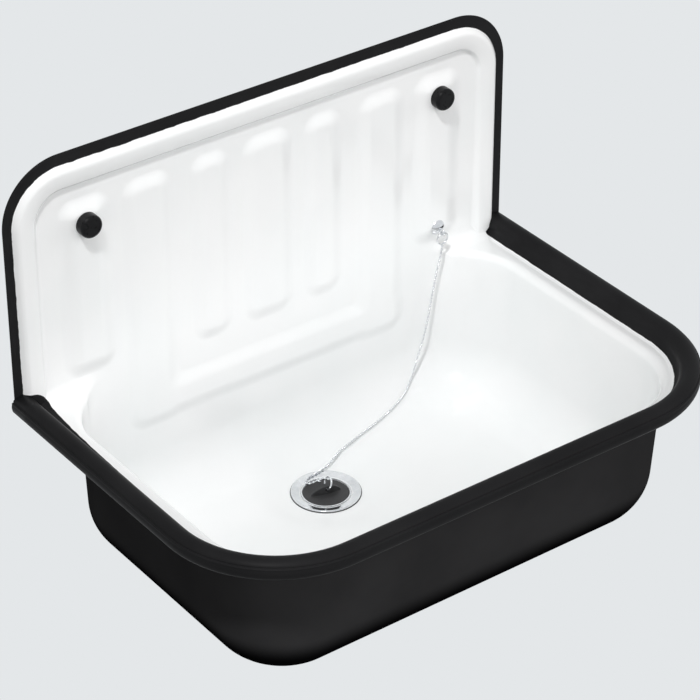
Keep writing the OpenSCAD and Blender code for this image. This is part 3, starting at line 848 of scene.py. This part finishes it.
def rim_profile():
    """The bead's section: inwards and upwards from its middle, anticlockwise from the inner foot."""
    foot_r = RIM_FOOT_FILLET
    foot_z = LEDGE_Z - RIM_Z
    under_z = foot_z - SHEET_T
    foot_x = math.sqrt((RIM_R + foot_r) ** 2 - (foot_z + foot_r) ** 2)
    touch = math.degrees(math.atan2(foot_z + foot_r, foot_x))

    def polar(angle, r):
        t = math.radians(angle)
        return (r * math.cos(t), r * math.sin(t))

    foot_end, foot_count = RIM_FOOT_TURN
    top_end, top_count = RIM_TOP
    points = [(foot_x + RIM_FOOT_START[0], foot_z + RIM_FOOT_START[1])]
    for u, v in (polar(a, foot_r) for a in np.linspace(foot_end, 180 + touch, foot_count)):
        points.append((foot_x + u, foot_z + foot_r + v))
    points += [polar(a, RIM_R) for a in np.linspace(touch, top_end, top_count)[1:]]
    points += [polar(a, r) for a, r in RIM_GROOVE]
    points += [polar(a, RIM_SIDE_R) for a in RIM_SIDE]
    points += [polar(a, RIM_R) for a in np.linspace(*RIM_UNDER)]
    points += [polar(a, r) for a, r in RIM_CURL]
    points.append(RIM_CURL_END)
    points += [(u, under_z) for u in RIM_SOLE]
    return points


def make_rim():
    section = rim_profile()
    line = three_sides()
    lowest_white = LEDGE_Z - RIM_Z - 0.5
    points, white = [], []
    for x, y, nx, ny in line:
        for u, v in section:
            points.append((x + nx * u, y + ny * u, RIM_Z + v))
            may_be_white = v > lowest_white and u > RIM_WHITE_FROM
            white.append(float(paint_line(x, y, u)) if may_be_white else ALL_BLACK)
    rim = mesh_object("rim_bead", points, tube_faces(len(line), len(section)))
    mend_normals(rim)
    mark_white(rim, white)
    rim.data.materials.append(EDGED)
    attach(rim, "root")
    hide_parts("rolled_rim")


# Bowl: rings down the wall and the fillet, then the floor and the ledge as fields of points


def plan_loop(x, y0, y1, r):
    """A rectangle with round corners seen from above, anticlockwise from the right, as points."""
    corners = ((x - r, y1 - r, 0), (-x + r, y1 - r, 90), (-x + r, y0 + r, 180), (x - r, y0 + r, 270))
    loop = []
    for k, (cx, cy, a0) in enumerate(corners):
        for i in range(RING_ARC + 1):
            a = math.radians(a0 + 90 * i / RING_ARC)
            loop.append((cx + r * math.cos(a), cy + r * math.sin(a)))
        nx, ny, a1 = corners[(k + 1) % 4]
        a = math.radians(a1)
        end = (nx + r * math.cos(a), ny + r * math.sin(a))
        start = loop[-1]
        for i in range(1, RING_SIDE):
            t = i / RING_SIDE
            loop.append((start[0] + (end[0] - start[0]) * t, start[1] + (end[1] - start[1]) * t))
    return loop


def bowl_ring(inset, z):
    """The inside of the bowl at one height, leaning outwards a little at its sides and front."""
    lean = DRAFT_TOP - DRAFT * (LEDGE_Z - z) / (LEDGE_Z - FLOOR_Z)
    r = BOWL_R - inset + lean * 0.5
    loop = plan_loop(BOWL_X - inset + lean, BOWL_Y + inset - lean, -inset + BEHIND, r)
    return [(x, y, z) for x, y in loop]


def dish_depth(r):
    """How far the floor sinks towards the waste."""
    return DISH_DEPTH * (1 - smoothstep((r - DISH_FROM) / DISH_WIDTH)) ** DISH_POWER


def floor_inset(x, y):
    """How far a point lies inside the outer side of the wall at the height of the floor."""
    lean = DRAFT_TOP - DRAFT
    return -box_distance(x, y, -BOWL_X - lean, BOWL_X + lean, BOWL_Y - lean, 0.0, BOWL_R + lean * 0.5)


def floor_height(x, y):
    """The floor inside the bowl: a fillet round it and a soft dish round the waste."""
    inset = np.clip(SHEET_T + FILLET_R - floor_inset(x, y), 0, FILLET_R)
    fillet = FLOOR_Z + FILLET_R - np.sqrt(FILLET_R**2 - inset**2)
    return fillet - dish_depth(np.hypot(x, y - WASTE_Y))


def lip_distance(x, y):
    """Distance to the bowl's topmost ring, below zero inside it."""
    edge = LIP_R - SHEET_T + DRAFT_TOP
    bx, by, br = BOWL_X + edge, BOWL_Y - edge, BOWL_R + edge - DRAFT_TOP / 2
    return box_distance(x, y, -bx, bx, by, LIP_R - SHEET_T + BEHIND, br)


def ledge_distance(x, y):
    """Distance to the ledge's outer line under the rim's foot, below zero inside it."""
    rx, ry = RIM_X - RIM_FOOT + LEDGE_OVERLAP, RIM_Y + RIM_FOOT - LEDGE_OVERLAP
    behind_all = 200.0
    return box_distance(x, y, -rx, rx, ry, behind_all, RIM_CORNER - RIM_FOOT + LEDGE_OVERLAP)


def bend_up(points):
    """Bends what nears the wall upwards, so that the ledge runs into the backsplash in a fillet."""
    wall = -SHEET_T + BEHIND
    u = wall - points[:, 1]
    fade = smoothstep((points[:, 2] - LEDGE_Z + LEDGE_BEND_LOW) / LEDGE_BEND_FADE)
    a = math.pi / 2 * (1 - np.clip(u / LEDGE_FILLET, 0, 1))
    y = wall - LEDGE_FILLET * (1 - np.sin(a))
    y = np.where(u < LEDGE_FILLET, y, points[:, 1])
    rise = LEDGE_FILLET * (1 - np.cos(a)) + np.maximum(-u, 0)
    moved = points.copy()
    moved[:, 1] += (y - points[:, 1]) * np.where(u < 0, 1.0, fade)
    moved[:, 2] += rise * fade
    return moved


def field(loops, grid, height, keep):
    """Points and triangles of a height field bounded by loops, with extra points inside."""
    flat, edges = [], []
    for loop in loops:
        start, n = len(flat), len(loop)
        flat += [(p[0], p[1]) for p in loop]
        edges += [(start + i, start + (i + 1) % n) for i in range(n)]
    flat += grid
    out, _, tris, _, _, _ = delaunay_2d_cdt([Vector(p) for p in flat], edges, [], 0, 1e-5)
    out = np.array([tuple(p) for p in out])
    tris = np.array(tris)
    centre = out[tris].mean(axis=1)
    tris = tris[keep(centre[:, 0], centre[:, 1])]
    return np.column_stack([out, height(out[:, 0], out[:, 1])]), anticlockwise(out, tris)


def bowl_wall():
    """Lip, wall and the steep part of the fillet: points, faces and the number of points in a ring."""
    rings = []
    for a in np.linspace(90, 0, LIP_STEPS):
        t = math.radians(a)
        z = LEDGE_Z - LIP_R + LIP_R * math.sin(t)
        rings.append(bowl_ring(SHEET_T - LIP_R + LIP_R * math.cos(t), z))
    for z in WALL_Z:
        rings.append(bowl_ring(SHEET_T, z))
    for a in np.linspace(0, STEEP, STEEP_STEPS):
        t = math.radians(a)
        z = FLOOR_Z + FILLET_R * (1 - math.sin(t))
        rings.append(bowl_ring(SHEET_T + FILLET_R * (1 - math.cos(t)), z))
    n = len(rings[0])
    faces = [face for k in range(len(rings) - 1) for face in quads(k * n, (k + 1) * n, n, flip=True)]
    wall = np.concatenate([np.array(r) for r in rings])
    sunk = smoothstep((FLOOR_Z + FILLET_R - wall[:, 2]) / DISH_FADE)
    wall[:, 2] -= dish_depth(np.hypot(wall[:, 0], wall[:, 1] - WASTE_Y)) * sunk
    return wall, faces, n


def bowl_floor(last):
    """The floor between the wall's last ring and the hole for the waste."""
    turns = np.linspace(0, 2 * math.pi, HOLE_SIDES + 1)[:-1]
    hole = [(WASTE_HOLE * math.cos(t), WASTE_Y + WASTE_HOLE * math.sin(t)) for t in turns]
    inset = SHEET_T + FILLET_R * (1 - math.cos(math.radians(STEEP)))
    half, front = FLOOR_GRID
    grid = []
    for x in np.arange(-half, half + 1, FLOOR_STEP):
        for y in np.arange(front, 0, FLOOR_STEP):
            clear = math.hypot(x, y - WASTE_Y) > WASTE_HOLE + HOLE_GAP
            if clear and floor_inset(x, y) > inset + FLOOR_GAP:
                grid.append((x, y))

    def keep(x, y):
        return np.hypot(x, y - WASTE_Y) > WASTE_HOLE

    points, tris = field([last, hole], grid, floor_height, keep)
    points[:len(last), 2] = last[:, 2]
    return points, tris


def bowl_ledge(top):
    """The ledge between the wall's first ring and the rim, black next to the rim and the wall."""
    reach = RIM_FOOT - LEDGE_OVERLAP
    outer = [(x + nx * reach, y + ny * reach) for x, y, nx, ny in three_sides()]
    side = outer[-1][0]
    down = np.arange(LEDGE_BACK, outer[1][1] + 1, -LEDGE_STEP)
    outer = [(-side, y) for y in down] + outer[1:-1] + [(side, y) for y in down[::-1]]
    half, front = LEDGE_GRID
    grid = []
    for x in np.arange(-half, half + 1, LEDGE_STEP):
        for y in np.arange(front, LEDGE_BACK, LEDGE_STEP):
            if ledge_distance(x, y) < -LEDGE_GAP and lip_distance(x, y) > LEDGE_GAP:
                grid.append((x, y))

    def keep(x, y):
        return lip_distance(x, y) > 0.001

    def level(x, y):
        return np.full(len(x), LEDGE_Z)

    points, tris = field([top, outer], grid, level, keep)
    x, y = points[:, 0], points[:, 1]
    paint = paint_line(x, y, reach - ledge_distance(x, y))
    bent = foot_white(x, bend_up(points)[:, 2])
    return points, tris, np.where(y > FOOT_BLACK_LEDGE, np.maximum(paint, bent), paint)


def trim_bowl(bm):
    """Joins the bowl's surfaces, leaves out what the backsplash covers and turns the faces to the inside."""
    bmesh.ops.remove_doubles(bm, verts=bm.verts, dist=JOIN * MM)
    gone = []
    for face in bm.faces:
        c = face.calc_center_median() / MM
        if c.y > -SHEET_T - 0.1 and c.z > LEDGE_Z + LEDGE_FILLET + 2:
            gone.append(face)
    bmesh.ops.delete(bm, geom=gone, context="FACES")
    bmesh.ops.recalc_face_normals(bm, faces=bm.faces)
    bm.normal_update()
    lowest = min(bm.faces, key=lambda f: f.calc_center_median().z)
    if lowest.normal.z < 0:
        bmesh.ops.reverse_faces(bm, faces=bm.faces[:])
        bm.normal_update()


def bowl_thickness(co):
    """The bowl's thickness at a point in millimetres, a hair less where it lies against the backsplash."""
    if co.y > -SHEET_T - 1.0:
        return SHEET_T - 0.1
    r = math.hypot(co.x, co.y - WASTE_Y)
    return SHEET_T + WELL_T * float(1 - smoothstep((r - WELL_FROM) / WELL_WIDTH))


def thicken_bowl(bm):
    """Gives the bowl its black outside and closes its open edges."""
    inside = bm.verts.layers.float["white_inside"]
    inner_faces, inner_verts = bm.faces[:], bm.verts[:]
    loops = [edge.link_loops[0] for edge in bm.edges if edge.is_boundary]
    pairs = [(loop.vert, loop.link_loop_next.vert) for loop in loops]
    partner = {}
    for v in inner_verts:
        made = bm.verts.new(v.co - v.normal * bowl_thickness(v.co / MM) * MM)
        made[inside] = ALL_BLACK
        partner[v] = made
    for f in inner_faces:
        made = bm.faces.new([partner[v] for v in reversed(f.verts)])
        made.material_index = 1
        made.smooth = True
    for a, b in pairs:
        made = bm.faces.new((b, a, partner[a], partner[b]))
        made.material_index = 0 if a.co.z > (FLOOR_Z + HOLE_EDGE_H) * MM else 1


def make_bowl():
    wall, wall_faces, n = bowl_wall()
    floor, floor_faces = bowl_floor(wall[-n:])
    ledge, ledge_faces, ledge_white = bowl_ledge(wall[:n])
    faces, start = [], 0
    for part, part_faces in ((wall, wall_faces), (floor, floor_faces), (ledge, ledge_faces)):
        faces += [tuple(int(i) + start for i in f) for f in part_faces]
        start += len(part)
    bowl = mesh_object("bowl_shell", bend_up(np.concatenate([wall, floor, ledge])), faces)
    mark_white(bowl, np.concatenate([np.full(len(wall) + len(floor), ALL_WHITE), ledge_white]))
    bm = bmesh.new()
    bm.from_mesh(bowl.data)
    trim_bowl(bm)
    thicken_bowl(bm)
    bm.to_mesh(bowl.data)
    bm.free()
    bowl.data.materials.append(EDGED)
    bowl.data.materials.append(BLACK_ENAMEL)
    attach(bowl, "root")
    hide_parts("bowl", "ledge")


def make_seal():
    points, faces = [], []
    n = len(SEAL_PROFILE)
    for i in range(SEAL_SIDES):
        a = 2 * math.pi * i / SEAL_SIDES
        points += [(r * math.cos(a), WASTE_Y + r * math.sin(a), z) for r, z in SEAL_PROFILE]
        faces += quads(i * n, (i + 1) % SEAL_SIDES * n, n, flip=True)
    seal = mesh_object("seal_squeezed", points, faces)
    mend_normals(seal)
    seal.data.materials.append(RUBBER)
    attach(seal, "root")
    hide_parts("top_seal")


# Lights and world


def make_key_light():
    data = bpy.data.lights.new("key", "AREA")
    data.shape = "RECTANGLE"
    data.size = KEY_SIZE
    data.size_y = KEY_SIZE
    data.energy = KEY_POWER
    lamp = link(bpy.data.objects.new("key", data))
    lamp.location = KEY_AT
    lamp.rotation_euler = (Vector(KEY_TARGET) - Vector(KEY_AT)).to_track_quat("-Z", "Y").to_euler()


def light_by_direction(tree):
    """Bright above and in front, dark below and behind, and stronger from the right."""
    way = axes(tree, tree.nodes.new("ShaderNodeTexCoord").outputs["Generated"])
    above = map_range(tree, way["Z"], *SKY_RISE, 0.0, 1.0)
    facing = map_range(tree, way["Y"], *SKY_FACE, SKY_BACK, SKY_FRONT)
    height = map_range(tree, way["Z"], *SKY_TOP, 1.0, SKY_HIGH)
    sky = maths(tree, "MULTIPLY", above, maths(tree, "MULTIPLY", facing, height))
    below = map_range(tree, way["Z"], *LOW_RISE, 0.0, 1.0)
    fade = map_range(tree, way["Z"], *LOW_FADE, 0.0, 1.0)
    board = map_range(tree, way["Y"], *LOW_FACE, LOW_BACK, LOW_FRONT)
    low = maths(tree, "MULTIPLY", board, maths(tree, "MULTIPLY", below, fade))
    side = map_range(tree, way["X"], *SIDE_RANGE, SIDE_LEFT, SIDE_RIGHT)
    return maths(tree, "MULTIPLY", maths(tree, "ADD", sky, low), side)


def make_world():
    """Light that changes by direction, and a plain pale background where it is seen or mirrored."""
    world = bpy.data.worlds.new("world")
    bpy.context.scene.world = world
    world.use_nodes = True
    tree = world.node_tree
    light = tree.nodes["Background"]
    light.inputs["Color"].default_value = LIGHT_COLOUR
    tree.links.new(light_by_direction(tree), light.inputs["Strength"])
    seen = tree.nodes.new("ShaderNodeBackground")
    seen.inputs["Color"].default_value = BACKGROUND
    seen.inputs["Strength"].default_value = 1.0
    rays = tree.nodes.new("ShaderNodeLightPath").outputs
    seen_by = maths(tree, "MAXIMUM", rays["Is Camera Ray"], rays["Is Glossy Ray"])
    seen_by = maths(tree, "MAXIMUM", seen_by, rays["Is Transmission Ray"])
    mix = tree.nodes.new("ShaderNodeMixShader")
    tree.links.new(seen_by, mix.inputs["Fac"])
    tree.links.new(light.outputs["Background"], mix.inputs[1])
    tree.links.new(seen.outputs["Background"], mix.inputs[2])
    tree.links.new(mix.outputs["Shader"], tree.nodes["World Output"].inputs["Surface"])


def paint(material, *names):
    """Gives CAD nodes a material."""
    for name in names:
        nodes[name].data.materials.clear()
        nodes[name].data.materials.append(material)


BLACK_ENAMEL = black_enamel()
EDGED = edged_enamel()
CHROME = metal("chrome", srgb(237, 238, 240), srgb(226, 228, 231), 0.08, 0.16)
ZINC = metal("zinc", srgb(190, 192, 194), srgb(168, 171, 175), 0.32, 0.5, 220.0, 0.00005)
BRASS = metal("brass", srgb(205, 172, 110), srgb(182, 148, 90), 0.24, 0.4, 200.0, 0.00004)
CAP = moulded("cap_plastic", srgb(24, 24, 25), srgb(20, 20, 21), 0.26, 0.34, shine=0.12)
PALE = moulded("pale_plastic", srgb(222, 221, 214), srgb(210, 209, 201), 0.4, 0.55)
RUBBER = moulded("rubber", srgb(52, 52, 53), srgb(44, 44, 45), 0.5, 0.65)

make_camera()
make_chain()
make_backsplash()
make_rim()
make_bowl()
make_seal()
paint(CHROME, "stay_bolt", "stay_ring", "waste_body", "plug_ring", "chain_clasp")
paint(ZINC, "wall_screws", "screw_washers", "stay_nut")
paint(BRASS, "backnut")
paint(CAP, "screw_cap_left", "screw_cap_right")
paint(PALE, "wall_bushes", "flat_washer")
paint(RUBBER, "stay_washer", "under_seal", "plug")
make_key_light()
make_world()
bpy.context.scene.view_settings.view_transform = "Standard"
